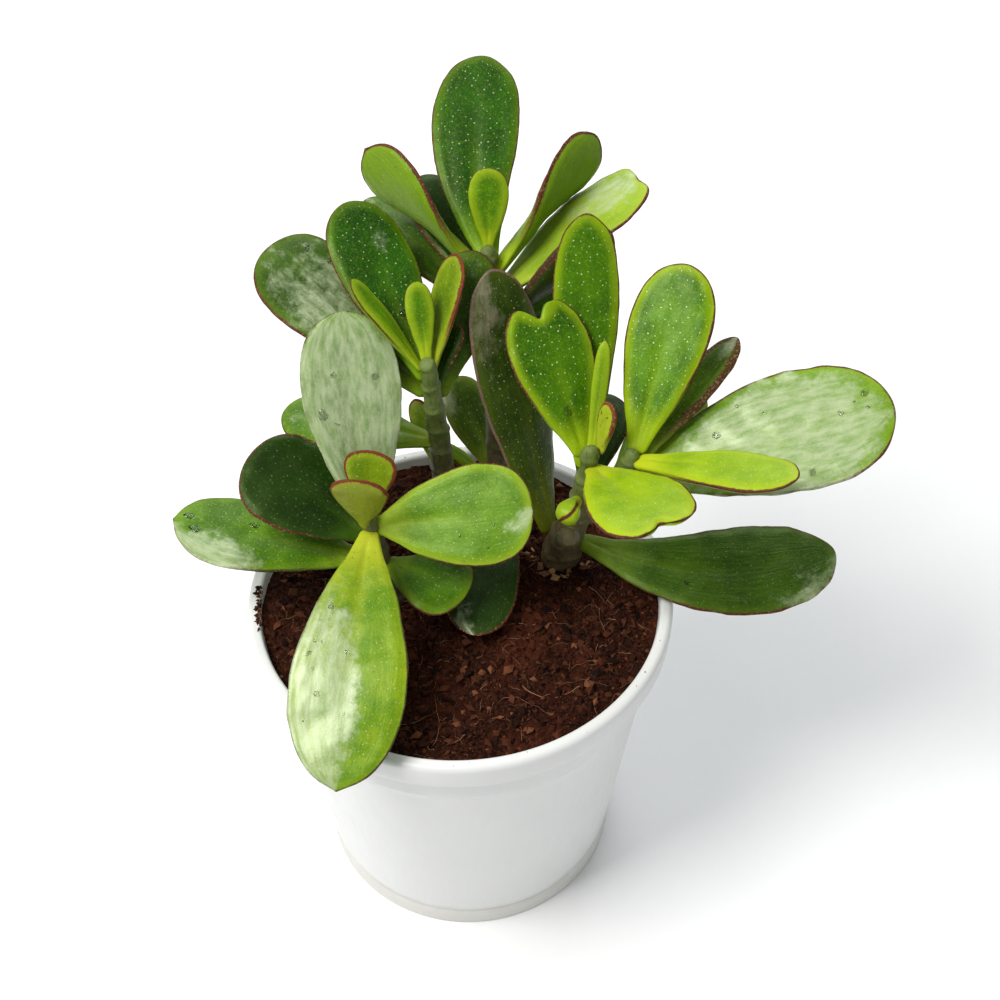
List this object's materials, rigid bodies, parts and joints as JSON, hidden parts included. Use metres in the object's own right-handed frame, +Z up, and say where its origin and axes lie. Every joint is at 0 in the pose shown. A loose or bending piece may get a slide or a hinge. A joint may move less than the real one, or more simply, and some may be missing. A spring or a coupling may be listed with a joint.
{
  "type": "potted jade plant",
  "caption": "Young branching jade plant with thick spoon-shaped leaves, growing in coir soil in a white tapered nursery pot with a rolled rim.",
  "frame": {"origin": "middle of the pot's underside, where it rests on the ground", "axes": "+Z up along the pot's axis, -Y towards the front, +X to the right seen from the front"},
  "size_m": [0.1766, 0.1591, 0.1927],
  "materials": {
    "pot_plastic": "white injection-moulded polypropylene, soft sheen",
    "coir_soil": null,
    "stem_skin": "smooth olive-brown succulent bark",
    "leaf_green": null,
    "leaf_young": null
  },
  "bodies": {
    "root": {"back_leaf_1": "leaf_green", "back_leaf_10": "leaf_green", "back_leaf_11": "leaf_green", "back_leaf_12": "leaf_young", "back_leaf_2": "leaf_green", "back_leaf_3": "leaf_young", "back_leaf_4": "leaf_green", "back_leaf_5": "leaf_green", "back_leaf_6": "leaf_green", "back_leaf_7": "leaf_green", "back_leaf_8": "leaf_green", "back_leaf_9": "leaf_green", "back_stem": "stem_skin", "far_right_leaf_1": "leaf_green", "far_right_leaf_2": "leaf_green", "far_right_leaf_3": "leaf_green", "far_right_leaf_4": "leaf_green", "far_right_leaf_5": "leaf_green", "front_left_leaf_1": "leaf_green", "front_left_leaf_2": "leaf_green", "front_left_leaf_3": "leaf_green", "front_left_leaf_4": "leaf_green", "front_left_leaf_5": "leaf_green", "front_left_leaf_6": "leaf_green", "front_left_leaf_7": "leaf_young", "front_left_leaf_8": "leaf_young", "front_left_stem": "stem_skin", "left_leaf_1": "leaf_young", "left_leaf_2": "leaf_green", "left_leaf_3": "leaf_green", "left_leaf_4": "leaf_green", "left_leaf_5": "leaf_green", "left_leaf_6": "leaf_young", "left_leaf_7": "leaf_young", "left_leaf_8": "leaf_young", "left_leaf_9": "leaf_young", "left_stem": "stem_skin", "pot": "pot_plastic", "right_leaf_1": "leaf_green", "right_leaf_2": "leaf_green", "right_leaf_3": "leaf_green", "right_leaf_4": "leaf_green", "right_leaf_5": "leaf_green", "right_leaf_6": "leaf_green", "right_leaf_7": "leaf_green", "right_leaf_8": "leaf_young", "right_leaf_9": "leaf_young", "right_stem": "stem_skin", "soil": "coir_soil"}
  },
  "joints": []
}
